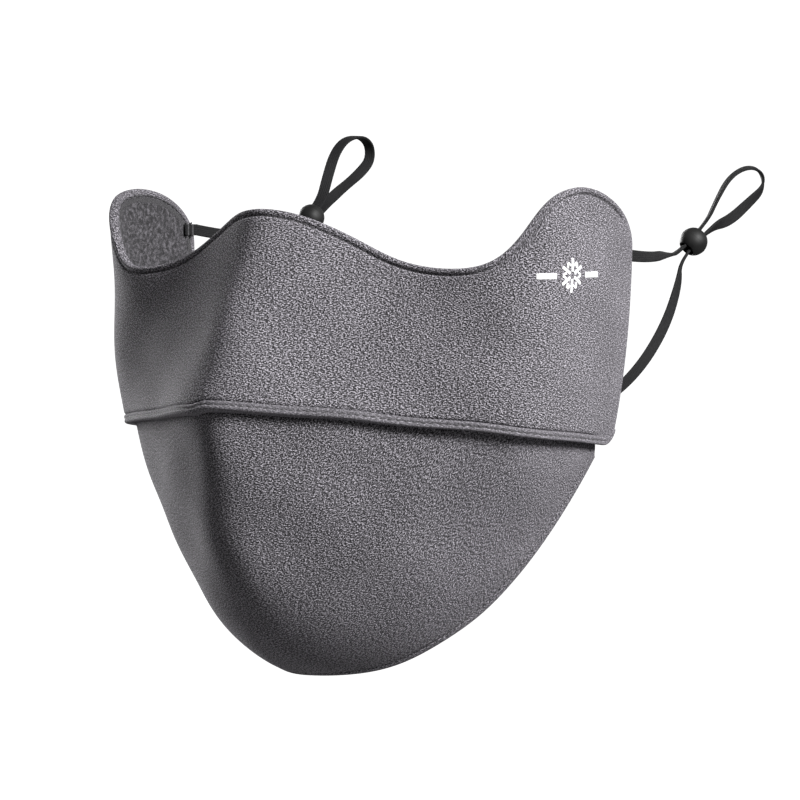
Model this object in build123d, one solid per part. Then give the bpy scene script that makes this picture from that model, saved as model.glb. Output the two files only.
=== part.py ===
"""Half-face cold-weather mask with ear loops.

A nose-and-cheek band, lined, ends in a free folded hem in front of the mouth. A mouth-and-chin
panel, lined too, is tucked under that hem and runs back under the chin. One flat elastic per ear
is sewn to the side edge at both ends and passes twice through a round stopper bead.

Millimetres, +Z up, the face looks along -Y, +X is the wearer's left. The origin is on the middle
of the band's lower hem, in front of the tip of the nose.
"""
from build123d import *
import math
import os

# ---- driving dimensions -------------------------------------------------------------------
# plan shape of the band: heading of its surface over the distance s from the middle of the nose
CHEEK_HEADING = 37.0        # degrees the cheek runs back from straight across
NOSE_TURN = 9.0             # distance in which the nose ridge turns to the cheek
SIDE_TURN_AT = 95.0         # where the cheek turns to the side of the face
SIDE_TURN = 9.0             # length of that turn
SIDE_HEADING = 90.0
EDGE_AT = 137.5             # distance from the middle to the side edge
HEM_TAPER = 0.056           # narrowing of the band from its top to its hem
HEM_TAPER_POWER = 2.4

# top edge of the band
BRIDGE_HEIGHT = 56.0        # top edge on the bridge of the nose
BRIDGE_SETBACK = 27.0       # the bridge lies this far behind the nose tip
BRIDGE_WIDTH = 64.5         # the front of the band leans back with it out to about here
DIP_HEIGHT = 38.3           # top edge under the eyes
BRIDGE_SPREAD = 35.0
LOBE_RISE = 23.6            # the temple lobes rise this far above the dips
LOBE_AT = 89.1
LOBE_FLANK = 5.0
CORNER_LENGTH = 29.5        # rounded upper corner, along the edge and down the side
CORNER_DROP = 17.0
CORNER_START = 108.0

# lower hem of the band
HEM_SLOPE = 0.105
HEM_CROWN = 22.0
HEM_CORNER = 5.0
HEM_FOLD = 2.4              # height of the folded hem strip
HEM_PROUD = 0.3             # the folded strip stands this far proud of the band

# mouth and chin panel
CHIN_EDGE_AT = 133.0
CHIN_SETBACK = 51.5         # rim under the chin, behind the nose tip
CHIN_DROP = 78.0            # rim under the chin, below the hem
CHIN_RIM_ROUND = 15.0
CHIN_RIM_POWER = 2.6
CHIN_TUCK = 11.0            # hidden height behind the band
CHIN_SIDE = 4.0             # how far the rim starts below the hem at the side
CHIN_BULGE = (0.70, 0.10, 0.857)   # share of each axis passed by the middle of a rib

# fabric
FABRIC = 1.25
LAYER_GAP = 0.15
EDGE_ROLL = 1.8             # width of the turned edges

# nose wire
WIRE_HALF = 42.0
WIRE_HEIGHT = 4.0
WIRE_BELOW_EDGE = 5.0
WIRE_THICK = 0.5
CHANNEL_MARGIN = 1.6        # the sewn channel passes the wire all round by this much
CHANNEL_THICK = 0.5

# ear elastics and beads
ELASTIC_WIDTH = 3.4
ELASTIC_THICK = 0.9
CORD_DIAMETER = 1.8
TAB_LENGTH = 6.2
TAB_REACH = 0.2             # the tab passes the side edge by this much
TACK_INSETS = (3.4, 5.6)    # the tacks cross each tab this far from the side edge
TACK_LENGTH = 0.9
TACK_HEIGHT = 4.2
TACK_THICK = 0.3
BEAD_DIAMETER = 8.3
BEAD_BORE = 4.6
BEAD_HALF_LENGTH = 3.5

# Each elastic's route, from the upper tab through the bead, round the tail loop and back through
# the bead to the lower tab. The right elastic is sewn on higher than the left one.
LEFT_ROUTE = [
    (76.5, 99.3, 42.2),
    (71.3, 119.5, 41.3),
    (69.8, 130.8, 42.5),
    (65.4, 143.5, 41.8),
    (70.0, 153.5, 51.4),
    (71.6, 156.2, 57.6),
    (73.0, 161.5, 64.8),
    (73.6, 171.4, 68.0),
    (73.8, 179.6, 66.6),
    (73.8, 181.0, 61.6),
    (72.7, 174.3, 57.4),
    (71.8, 164.0, 51.9),
    (71.3, 154.3, 50.2),
    (66.6, 144.3, 40.6),
    (67.6, 141.6, 33.4),
    (70.4, 129.0, 21.0),
    (72.2, 110.5, 8.6),
    (72.6, 99.3, 4.2),
]
RIGHT_ROUTE = [
    (-76.6, 99.3, 49.0),
    (-72.9, 115.3, 46.4),
    (-70.3, 130.8, 47.9),
    (-68.3, 141.3, 49.1),
    (-68.3, 153.6, 57.7),
    (-68.9, 157.6, 64.9),
    (-69.5, 162.5, 72.6),
    (-70.2, 169.5, 77.2),
    (-70.7, 178.6, 78.2),
    (-71.0, 184.2, 75.6),
    (-71.0, 184.4, 70.6),
    (-70.6, 178.8, 66.9),
    (-70.0, 170.6, 63.2),
    (-69.2, 162.0, 59.6),
    (-68.3, 154.7, 56.1),
    (-68.3, 142.4, 47.5),
    (-69.2, 134.6, 39.2),
    (-70.6, 126.0, 28.5),
    (-72.4, 111.5, 15.4),
    (-73.4, 99.3, 11.0),
]
ROUTES = {1: LEFT_ROUTE, -1: RIGHT_ROUTE}
BEADS = {                   # centre, and direction of the bore towards the tail loop
    1: ((68.3, 148.8, 45.8), (0.3134, 0.6824, 0.6604)),
    -1: ((-68.3, 148.0, 52.6), (0, 0.8192, 0.5736)),
}

# print on the left cheek: a six-armed snow star between two plain bars
STAR_AT = (105.0, 37.0)
STAR_ARM = 4.4
STAR_HUB = 0.6
BARB_AT = 2.2               # a pair of barbs leaves each arm here
BARB_LENGTH = 1.5
BARB_ANGLE = 55.0
PRINT_LINE = 0.9
BAR_INSIDE = 6.4
BAR_OUTSIDE = 13.0
BAR_HEIGHT = 1.6
PRINT_THICK = 0.15
PRINT_GAP = 0.05

STATIONS = 57               # sections along a long piece

# ---- the form the fabric follows ----------------------------------------------------------
STEP = 0.25


def plan_table():
    """Plan of the band: x and y at every STEP of the distance from the middle."""
    x, y = 0.0, 0.0
    table = [(x, y)]
    for i in range(int(170 / STEP)):
        s = (i + 0.5) * STEP
        cheek = CHEEK_HEADING * math.tanh(s / NOSE_TURN)
        side = (SIDE_HEADING - CHEEK_HEADING) * 0.5 * (1 + math.tanh((s - SIDE_TURN_AT) / SIDE_TURN))
        heading = math.radians(cheek + side)
        x += STEP * math.cos(heading)
        y += STEP * math.sin(heading)
        table.append((x, y))
    return table


PLAN = plan_table()


def plan(s):
    """Point of the plan at distance s, which is negative on the wearer's right."""
    at = abs(s) / STEP
    i = int(at)
    part = at - i
    x = PLAN[i][0] * (1 - part) + PLAN[i + 1][0] * part
    y = PLAN[i][1] * (1 - part) + PLAN[i + 1][1] * part
    return math.copysign(x, s), y


def clip(value, low, high):
    return min(max(value, low), high)


def round_off(past, length):
    """0 at the start of a rounded corner, 1 at its end, as a quarter ellipse."""
    return 1 - math.sqrt(1 - clip(past / length, 0, 1) ** 2)


def top_edge(s):
    """Height of the band's top edge."""
    s = abs(s)
    bridge = (BRIDGE_HEIGHT - DIP_HEIGHT) * math.exp(-((s / BRIDGE_SPREAD) ** 2))
    lobe = LOBE_RISE / (1 + math.exp(-(s - LOBE_AT) / LOBE_FLANK))
    corner = CORNER_DROP * round_off(s - CORNER_START, CORNER_LENGTH)
    return DIP_HEIGHT + bridge + lobe - corner


def hem(s):
    """Height of the band's lower edge."""
    fall = HEM_SLOPE * (math.sqrt(s * s + HEM_CROWN**2) - HEM_CROWN)
    corner = HEM_CORNER * round_off(abs(s) - (EDGE_AT - HEM_CORNER), HEM_CORNER)
    return corner - fall


def band_skin(s, z):
    """Outer surface of the band."""
    x, y = plan(s)
    rise = clip(z / BRIDGE_HEIGHT, -0.3, 1.2)
    setback = BRIDGE_SETBACK * rise * math.exp(-((s / BRIDGE_WIDTH) ** 4))
    return Vector(x * (1 - HEM_TAPER * max(1 - rise, 0) ** HEM_TAPER_POWER), y + setback, z)


def inward(skin, a, b, h=0.2):
    """Unit normal of a surface at (a, b), pointing to the face."""
    along = skin(a + h, b) - skin(a - h, b)
    up = skin(a, b + h) - skin(a, b - h)
    return up.cross(along).normalized()


def band(s, z, depth):
    """Point of the band form, depth millimetres inside its outer surface."""
    return band_skin(s, z) + inward(band_skin, s, z) * depth


CHIN_DEPTH = 2 * FABRIC + 2 * LAYER_GAP     # the chin panel lies inside both layers of the band


def chin_skin(s, t):
    """Outer surface of the chin panel: t is 0 at the hem, 1 at the rim, and below 0 in the tuck."""
    side = math.copysign(1, s)
    share = clip(abs(s) / CHIN_EDGE_AT, 0, 1)
    fall = HEM_SLOPE * (math.sqrt(s * s + HEM_CROWN**2) - HEM_CROWN)
    start = band(s, -fall, CHIN_DEPTH)
    if t < 0:
        return band(s, -fall - t * CHIN_TUCK, CHIN_DEPTH)
    edge_fall = HEM_SLOPE * (math.sqrt(CHIN_EDGE_AT**2 + HEM_CROWN**2) - HEM_CROWN)
    end = band(CHIN_EDGE_AT, -edge_fall, CHIN_DEPTH)
    across = math.sin(share * math.pi / 2)
    back = math.hypot(across * end.X, CHIN_RIM_ROUND) - CHIN_RIM_ROUND
    back /= math.hypot(end.X, CHIN_RIM_ROUND) - CHIN_RIM_ROUND
    rim = Vector(
        side * across * end.X,
        CHIN_SETBACK + (end.Y - CHIN_SETBACK) * back,
        -CHIN_DROP + (end.Z - CHIN_SIDE + CHIN_DROP) * across**CHIN_RIM_POWER,
    )
    gone = [2 * t * (1 - t) * bulge + t * t for bulge in CHIN_BULGE]
    way = rim - start
    return Vector(start.X + way.X * gone[0], start.Y + way.Y * gone[1], start.Z + way.Z * gone[2])


def chin(s, t, depth):
    """Point of the chin form, depth millimetres inside its outer surface."""
    h = 0.01
    along = chin_skin(s + 0.3, t) - chin_skin(s - 0.3, t)
    down = chin_skin(s, t + h) - chin_skin(s, t - h)
    return chin_skin(s, t) + along.cross(down).normalized() * depth


# ---- solids that follow the form ----------------------------------------------------------
def shares(count):
    return [i / (count - 1) for i in range(count)]


def strand(points):
    return Edge.make_line(*points) if len(points) == 2 else Edge.make_spline(points)


def slab(place, across, high, outer, inner):
    """A closed sheet between two depths. place(a, b, depth) maps 0..1 by 0..1 onto the form.

    Each station across is a four-sided section, and ruled faces join it to the next.
    """
    sections = []
    for a in shares(across):
        face_points = [place(a, b, outer) for b in shares(high)]
        back_points = [place(a, b, inner) for b in shares(high)]
        sections.append((face_points, back_points))
    ruled = Face.make_surface_from_curves
    faces = [ruled(strand(front), strand(back)) for front, back in (sections[0], sections[-1])]
    for (front, back), (next_front, next_back) in zip(sections, sections[1:]):
        faces.append(ruled(strand(front), strand(next_front)))
        faces.append(ruled(strand(back), strand(next_back)))
        for end in (0, -1):
            near = Edge.make_line(front[end], next_front[end])
            far = Edge.make_line(back[end], next_back[end])
            faces.append(ruled(near, far))
    return Solid(Shell(faces))


def mix(low, high, share):
    return low + (high - low) * share


def band_patch(s0, s1, low, high, outer, inner, across=STATIONS, rows=2):
    """Sheet on the band form from s0 to s1, between two heights given as functions of s."""

    def place(a, b, depth):
        s = mix(s0, s1, a)
        return band(s, mix(low(s), high(s), b), depth)

    return slab(place, across, rows, outer, inner)


def chin_patch(s0, s1, low, high, outer, inner, across=STATIONS, rows=13):
    """Sheet on the chin form from s0 to s1, between two values of t given as functions of s."""

    def place(a, b, depth):
        s = mix(s0, s1, a)
        return chin(s, mix(low(s), high(s), b), depth)

    return slab(place, across, rows, outer, inner)


def write(name, solid):
    export_step(solid, f"parts/{name}.step")


# ---- the band -----------------------------------------------------------------------------
LINING = FABRIC + LAYER_GAP             # depth of the lining's face
BACK = 2 * FABRIC + LAYER_GAP           # depth of the lining's back
BAND_SIDE = EDGE_AT - EDGE_ROLL


def roll_top(s):
    return top_edge(s) - EDGE_ROLL


def panel_top(s):
    return roll_top(s) - LAYER_GAP


def fold_top(s):
    return hem(s) + HEM_FOLD


def panel_low(s):
    return fold_top(s) + LAYER_GAP


def nose_band_outer():
    side = BAND_SIDE - LAYER_GAP
    return band_patch(-side, side, panel_low, panel_top, 0, FABRIC, rows=5)


def nose_band_lining():
    side = BAND_SIDE - LAYER_GAP
    return band_patch(-side, side, panel_low, panel_top, LINING, BACK, rows=5)


def top_edge_roll():
    side = BAND_SIDE - LAYER_GAP
    return band_patch(-side, side, roll_top, top_edge, 0, BACK)


def band_hem_fold():
    side = BAND_SIDE - LAYER_GAP
    return band_patch(-side, side, hem, fold_top, -HEM_PROUD, BACK)


def side_edge_roll(side):
    return band_patch(side * BAND_SIDE, side * EDGE_AT, hem, top_edge, 0, BACK, 5, rows=5)


# ---- the chin panel -----------------------------------------------------------------------
CHIN_SIDE_AT = CHIN_EDGE_AT - EDGE_ROLL


def tuck_end(s):
    return -1.0


def rim_share(s, width):
    """Value of t that lies width millimetres above the rim."""
    h = 0.02
    reach = (chin_skin(s, 1.0) - chin_skin(s, 1.0 - h)).length / h
    return 1.0 - min(width / reach, 0.6)


def rim_roll_start(s):
    return rim_share(s, EDGE_ROLL)


def panel_end(s):
    return rim_share(s, EDGE_ROLL + LAYER_GAP)


def rim(s):
    return 1.0


def chin_panel_outer():
    side = CHIN_SIDE_AT - LAYER_GAP
    return chin_patch(-side, side, tuck_end, panel_end, 0, FABRIC)


def chin_panel_lining():
    side = CHIN_SIDE_AT - LAYER_GAP
    return chin_patch(-side, side, tuck_end, panel_end, LINING, BACK)


def chin_edge_roll():
    side = CHIN_SIDE_AT - LAYER_GAP
    return chin_patch(-side, side, rim_roll_start, rim, 0, BACK, rows=2)


def chin_side_roll(side):
    return chin_patch(side * CHIN_SIDE_AT, side * CHIN_EDGE_AT, tuck_end, rim, 0, BACK, 3, 9)


# ---- nose wire ----------------------------------------------------------------------------
def wire_low(s):
    return top_edge(s) - WIRE_BELOW_EDGE - WIRE_HEIGHT


def wire_top(s):
    return top_edge(s) - WIRE_BELOW_EDGE


def nose_wire():
    back = BACK + LAYER_GAP
    return band_patch(-WIRE_HALF, WIRE_HALF, wire_low, wire_top, back, back + WIRE_THICK, 21)


def nose_wire_channel():
    back = BACK + 2 * LAYER_GAP + WIRE_THICK
    half = WIRE_HALF + CHANNEL_MARGIN

    def low(s):
        return wire_low(s) - CHANNEL_MARGIN

    def top(s):
        return wire_top(s) + CHANNEL_MARGIN

    return band_patch(-half, half, low, top, back, back + CHANNEL_THICK, 21)


# ---- sewn ends of the elastics ------------------------------------------------------------
TAB_FACE = BACK + LAYER_GAP


def level_patch(s0, s1, height, width, outer, inner):
    """Small strip on the band form at one height."""
    return band_patch(s0, s1, lambda s: height - width / 2, lambda s: height + width / 2, outer, inner, 3)


def tab_heights(side):
    """Heights of the upper and the lower tab, where the elastic's route starts and ends."""
    route = ROUTES[side]
    return route[0][2], route[-1][2]


def elastic_tab(side, height):
    start = side * (EDGE_AT - TAB_LENGTH)
    tip = side * (EDGE_AT + TAB_REACH)
    return level_patch(start, tip, height, ELASTIC_WIDTH, TAB_FACE, TAB_FACE + ELASTIC_THICK)


def bar_tacks():
    """Dense thread bars that hold each tab, two to a tab."""
    face = TAB_FACE + ELASTIC_THICK + LAYER_GAP
    tacks = []
    for side in (-1, 1):
        for height in tab_heights(side):
            for inset in TACK_INSETS:
                start = side * (EDGE_AT - inset)
                end = side * (EDGE_AT - inset + TACK_LENGTH)
                tacks.append(level_patch(start, end, height, TACK_HEIGHT, face, face + TACK_THICK))
    return Compound(tacks)


# ---- ear elastics and beads ---------------------------------------------------------------
def corner_radii(points):
    """The largest arc that leaves a tenth of each run straight."""
    radii = []
    for before, corner, after in zip(points, points[1:], points[2:]):
        inward_run = corner - before
        outward_run = after - corner
        half_turn = math.radians(inward_run.get_angle(outward_run)) / 2
        shorter = min(inward_run.length, outward_run.length)
        radii.append(0.45 * shorter / math.tan(half_turn))
    return radii


def ear_elastic(side):
    points = [Vector(*point) for point in ROUTES[side]]
    radii = corner_radii(points)
    path = FilletPolyline(*points, radius=radii)
    section = Plane(origin=path @ 0, z_dir=path % 0) * Circle(CORD_DIAMETER / 2)
    tube = sweep(section, path=path)
    expected = math.pi * CORD_DIAMETER**2 / 4 * path.length
    print("elastic", side, "length", round(path.length, 1), "radii", [round(r, 1) for r in radii])
    print("volume over section x length", round(tube.volume / expected, 4))
    return tube


def stopper_bead(side):
    """Round bead with flat ends and one bore for both strands."""
    centre, bore = BEADS[side]
    ball = Sphere(BEAD_DIAMETER / 2)
    ball &= Cylinder(BEAD_DIAMETER / 2, 2 * BEAD_HALF_LENGTH)
    ball -= Cylinder(BEAD_BORE / 2, BEAD_DIAMETER)
    return Plane(origin=centre, z_dir=bore) * ball


# ---- print --------------------------------------------------------------------------------
def print_bar(length, width, start, angle, offset=(0, 0)):
    """One printed bar on the left cheek, leaving the print's centre at an angle."""
    turn = math.radians(angle)

    def place(a, b, depth):
        along = start + a * length
        aside = (b - 0.5) * width
        s = STAR_AT[0] + offset[0] + along * math.cos(turn) - aside * math.sin(turn)
        z = STAR_AT[1] + offset[1] + along * math.sin(turn) + aside * math.cos(turn)
        return band(s, z, depth)

    return slab(place, 3, 2, -PRINT_THICK - PRINT_GAP, -PRINT_GAP)


def cheek_print():
    bars = []
    for arm in range(6):
        angle = 30 + 60 * arm
        bars.append(print_bar(STAR_ARM - STAR_HUB, PRINT_LINE, STAR_HUB + PRINT_LINE / 2, angle))
        root = Vector(BARB_AT, 0, 0).rotate(Axis.Z, angle)
        for lean in (-BARB_ANGLE, BARB_ANGLE):
            start = PRINT_LINE
            bars.append(print_bar(BARB_LENGTH, PRINT_LINE * 0.7, start, angle + lean, (root.X, root.Y)))
    for angle in (0, 180):
        bars.append(print_bar(BAR_OUTSIDE - BAR_INSIDE, BAR_HEIGHT, BAR_INSIDE, angle))
    return Compound(bars)


# ---- all nodes ----------------------------------------------------------------------------
def main():
    os.makedirs("parts", exist_ok=True)
    write("nose_band_outer", nose_band_outer())
    write("nose_band_lining", nose_band_lining())
    write("top_edge_roll", top_edge_roll())
    write("band_hem_fold", band_hem_fold())
    write("chin_panel_outer", chin_panel_outer())
    write("chin_panel_lining", chin_panel_lining())
    write("chin_edge_roll", chin_edge_roll())
    write("nose_wire", nose_wire())
    write("nose_wire_channel", nose_wire_channel())
    write("bar_tacks", bar_tacks())
    write("cheek_print", cheek_print())
    for hand, side in (("left", 1), ("right", -1)):
        write(f"side_edge_roll_{hand}", side_edge_roll(side))
        write(f"chin_side_roll_{hand}", chin_side_roll(side))
        upper, lower = tab_heights(side)
        write(f"elastic_tab_upper_{hand}", elastic_tab(side, upper))
        write(f"elastic_tab_lower_{hand}", elastic_tab(side, lower))
        write(f"ear_elastic_{hand}", ear_elastic(side))
        write(f"stopper_bead_{hand}", stopper_bead(side))


main()
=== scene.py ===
"""The looks of a half-face cold-weather mask: knit, fleece, thread, elastics, beads and print.

Lengths are in millimetres, in the frame of the CAD model, and become metres where a mesh is made.
The fabric follows the same form as the CAD solids: `band` is the nose-and-cheek band, over the
distance s from the middle of the nose and the height z, and `chin` is the panel below it.
"""

import math

import bpy
import numpy as np
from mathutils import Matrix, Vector


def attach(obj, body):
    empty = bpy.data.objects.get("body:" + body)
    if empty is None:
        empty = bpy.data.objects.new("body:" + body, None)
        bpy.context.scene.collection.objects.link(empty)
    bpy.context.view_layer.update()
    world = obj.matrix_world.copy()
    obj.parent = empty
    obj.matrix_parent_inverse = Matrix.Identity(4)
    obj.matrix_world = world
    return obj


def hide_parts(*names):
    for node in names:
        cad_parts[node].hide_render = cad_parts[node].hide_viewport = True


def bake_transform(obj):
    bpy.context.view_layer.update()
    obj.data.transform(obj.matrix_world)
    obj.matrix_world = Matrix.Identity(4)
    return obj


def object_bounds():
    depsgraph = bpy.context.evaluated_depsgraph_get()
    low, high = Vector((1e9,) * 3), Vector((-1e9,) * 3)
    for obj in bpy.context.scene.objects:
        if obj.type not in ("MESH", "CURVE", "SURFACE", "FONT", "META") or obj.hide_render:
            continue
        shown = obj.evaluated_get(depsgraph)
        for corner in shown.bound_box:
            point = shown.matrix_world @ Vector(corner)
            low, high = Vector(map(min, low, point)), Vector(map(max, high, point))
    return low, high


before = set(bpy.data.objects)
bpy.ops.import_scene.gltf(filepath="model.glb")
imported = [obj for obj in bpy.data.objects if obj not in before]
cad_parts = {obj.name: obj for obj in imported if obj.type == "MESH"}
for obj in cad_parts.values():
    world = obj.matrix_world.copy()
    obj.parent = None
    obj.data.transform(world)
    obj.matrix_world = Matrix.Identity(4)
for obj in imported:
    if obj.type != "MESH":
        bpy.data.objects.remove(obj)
cad_box = [list(corner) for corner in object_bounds()]

MM = 0.001

# ---- driving dimensions, as in the CAD model ------------------------------------------------
CHEEK_HEADING = 37.0
NOSE_TURN = 9.0
SIDE_TURN_AT = 95.0
SIDE_TURN = 9.0
SIDE_HEADING = 90.0
EDGE_AT = 137.5
HEM_TAPER = 0.056
HEM_TAPER_POWER = 2.4

BRIDGE_HEIGHT = 56.0
BRIDGE_SETBACK = 27.0
BRIDGE_WIDTH = 64.5
DIP_HEIGHT = 38.3
BRIDGE_SPREAD = 35.0
LOBE_RISE = 23.6
LOBE_AT = 89.1
LOBE_FLANK = 5.0
CORNER_LENGTH = 29.5
CORNER_DROP = 17.0
CORNER_START = 108.0

HEM_SLOPE = 0.105
HEM_CROWN = 22.0
HEM_CORNER = 5.0

CHIN_EDGE_AT = 133.0
CHIN_SETBACK = 51.5
CHIN_DROP = 78.0
CHIN_RIM_ROUND = 15.0
CHIN_RIM_POWER = 2.6
CHIN_TUCK = 11.0
CHIN_SIDE = 4.0
CHIN_BULGE = (0.70, 0.10, 0.857)

FABRIC = 1.25
LAYER_GAP = 0.15
LINING = FABRIC + LAYER_GAP             # depth of the lining's outer face
BACK = 2 * FABRIC + LAYER_GAP           # depth of the lining's back
CHIN_DEPTH = 2 * FABRIC + 2 * LAYER_GAP

WIRE_HALF = 42.0
WIRE_HEIGHT = 4.0
WIRE_BELOW_EDGE = 5.0
WIRE_THICK = 0.5
CHANNEL_MARGIN = 1.6
CHANNEL_THICK = 0.5

ELASTIC_WIDTH = 3.4
ELASTIC_THICK = 0.9
TAB_LENGTH = 6.2
TAB_FACE = BACK + LAYER_GAP
TACK_INSETS = (3.4, 5.6)
TACK_LENGTH = 0.9
TACK_HEIGHT = 4.2
BEAD_DIAMETER = 8.3
BEAD_BORE = 4.6

# each elastic's route, from its upper tab through the bead and the tail loop to its lower tab: the
# control points of a smooth line, x, y and z, and how far the flat strap is turned about its length
LEFT_ROUTE = [
    (76.5, 99.3, 42.2, -90),
    (71.3, 119.5, 41.3, -112),
    (69.8, 130.8, 42.5, -160),
    (65.4, 143.5, 41.8, -208),
    (70.0, 153.5, 51.4, -224),
    (71.6, 156.2, 57.6, -221),
    (73.0, 161.5, 64.8, -206),
    (73.6, 171.4, 68.0, -177),
    (73.8, 179.6, 66.6, -140),
    (73.8, 181.0, 61.6, -112),
    (72.7, 174.3, 57.4, -90),
    (71.8, 164.0, 51.9, -68),
    (71.3, 154.3, 50.2, -140),
    (66.6, 144.3, 40.6, -133),
    (67.6, 141.6, 33.4, -85),
    (70.4, 129.0, 21.0, -65),
    (72.2, 110.5, 8.6, -70),
    (72.6, 99.3, 4.2, -90),
]
RIGHT_ROUTE = [
    (-76.6, 99.3, 49.0, 90),
    (-72.9, 115.3, 46.4, 84),
    (-70.3, 130.8, 47.9, 40),
    (-68.3, 141.3, 49.1, 10),
    (-68.3, 153.6, 57.7, 20),
    (-68.9, 157.6, 64.9, 45),
    (-69.5, 162.5, 72.6, 22),
    (-70.2, 169.5, 77.2, 8),
    (-70.7, 178.6, 78.2, 0),
    (-71.0, 184.2, 75.6, -8),
    (-71.0, 184.4, 70.6, -24),
    (-70.6, 178.8, 66.9, -60),
    (-70.0, 170.6, 63.2, -90),
    (-69.2, 162.0, 59.6, -60),
    (-68.3, 154.7, 56.1, -20),
    (-68.3, 142.4, 47.5, 0),
    (-69.2, 134.6, 39.2, 20),
    (-70.6, 126.0, 28.5, 60),
    (-72.4, 111.5, 15.4, 80),
    (-73.4, 99.3, 11.0, 90),
]
ROUTES = {1: LEFT_ROUTE, -1: RIGHT_ROUTE}
BEADS = {                   # centre, and direction of the bore towards the tail loop
    1: ((68.3, 148.8, 45.8), (0.3134, 0.6824, 0.6604)),
    -1: ((-68.3, 148.0, 52.6), (0, 0.8192, 0.5736)),
}

STAR_AT = (105.0, 37.0)
STAR_ARM = 4.4
STAR_HUB = 0.6
BARB_AT = 2.2
BARB_LENGTH = 1.5
BARB_ANGLE = 55.0
PRINT_LINE = 0.9
BAR_INSIDE = 6.4
BAR_OUTSIDE = 13.0
BAR_HEIGHT = 1.6
PRINT_THICK = 0.2

# ---- only in the looks ----------------------------------------------------------------------
HEM_STEP = 1.1              # the hem hangs lower on the wearer's right of the nose
SOFTNESS = 0.35             # slow unevenness of the cloth
SOFT_UNTIL = 62.0           # it fades out from this far back
TOP_SEAM = 2.0              # topstitching below the top edge
CHIN_SEAM = 3.5             # topstitching inside the chin panel's rim
HEM_SEAM = 1.3              # topstitching on the folded hem
STITCH_PITCH = 2.3
STITCH_LENGTH = 1.75
THREAD_RADIUS = 0.19


# ---- the form the fabric follows ------------------------------------------------------------
PLAN_STEP = 0.25
PLAN_S = np.arange(0, 170 + PLAN_STEP, PLAN_STEP)


def plan_table():
    middle = PLAN_S[:-1] + PLAN_STEP / 2
    cheek = CHEEK_HEADING * np.tanh(middle / NOSE_TURN)
    side = (SIDE_HEADING - CHEEK_HEADING) * 0.5 * (1 + np.tanh((middle - SIDE_TURN_AT) / SIDE_TURN))
    heading = np.radians(cheek + side)
    x = np.concatenate([[0], np.cumsum(np.cos(heading))]) * PLAN_STEP
    y = np.concatenate([[0], np.cumsum(np.sin(heading))]) * PLAN_STEP
    return x, y


PLAN_X, PLAN_Y = plan_table()


def stack(*values):
    return np.stack(np.broadcast_arrays(*values), axis=-1).astype(float)


def unit(vectors):
    return vectors / np.maximum(np.linalg.norm(vectors, axis=-1, keepdims=True), 1e-12)


def smooth(value):
    """0 below 0, 1 above 1, and a smooth step between."""
    share = np.clip(value, 0, 1)
    return share * share * (3 - 2 * share)


def round_off(past, length):
    return 1 - np.sqrt(1 - np.clip(past / length, 0, 1) ** 2)


def top_edge(s):
    s = np.abs(s)
    bridge = (BRIDGE_HEIGHT - DIP_HEIGHT) * np.exp(-((s / BRIDGE_SPREAD) ** 2))
    lobe = LOBE_RISE / (1 + np.exp(-(s - LOBE_AT) / LOBE_FLANK))
    corner = CORNER_DROP * round_off(s - CORNER_START, CORNER_LENGTH)
    return DIP_HEIGHT + bridge + lobe - corner


def hem_fall(s):
    return HEM_SLOPE * (np.sqrt(s * s + HEM_CROWN**2) - HEM_CROWN)


def hem(s):
    """Height of the band's lower edge, which steps down beside the nose on the wearer's right."""
    corner = HEM_CORNER * round_off(np.abs(s) - (EDGE_AT - HEM_CORNER), HEM_CORNER)
    step = HEM_STEP * smooth((-s - 1) / 7) * (1 - smooth((-s - 30) / 60))
    return corner - hem_fall(s) - step


def band_skin(s, z):
    rise = np.clip(z / BRIDGE_HEIGHT, -0.3, 1.2)
    setback = BRIDGE_SETBACK * rise * np.exp(-((s / BRIDGE_WIDTH) ** 4))
    x = np.sign(s) * np.interp(np.abs(s), PLAN_S, PLAN_X)
    y = np.interp(np.abs(s), PLAN_S, PLAN_Y)
    return stack(x * (1 - HEM_TAPER * np.maximum(1 - rise, 0) ** HEM_TAPER_POWER), y + setback, z)


def inward(skin, a, b, step_a, step_b):
    """Unit normal of a form at (a, b), pointing to the face."""
    along = skin(a + step_a, b) - skin(a - step_a, b)
    up = skin(a, b + step_b) - skin(a, b - step_b)
    return unit(np.cross(up, along))


def soften(points):
    """Moves points by a slow unevenness, the same for every layer, none at the side edges."""
    x, y, z = points[..., 0], points[..., 1], points[..., 2]
    front = SOFTNESS * (1 - smooth((y - SOFT_UNTIL) / 30))
    waves = [
        np.sin(x / 9.1 + z / 13.7 + 0.8) + 0.7 * np.sin(x / 4.7 - z / 7.9 + 2.1),
        np.sin(z / 8.3 - x / 12.9 + 4.0) + 0.7 * np.sin(z / 5.1 + x / 6.3 + 0.4),
        0.6 * np.sin(x / 7.3 + y / 9.7 + 1.3),
    ]
    return points + front[..., None] * stack(*waves)


def band_bare(s, z, depth):
    """Point of the band's form, depth millimetres inside its outer surface."""
    normal = inward(band_skin, s, z, 0.2, 0.2)
    return band_skin(s, z) + normal * np.asarray(depth)[..., None]


def band(s, z, depth):
    return soften(band_bare(s, z, depth))


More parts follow.
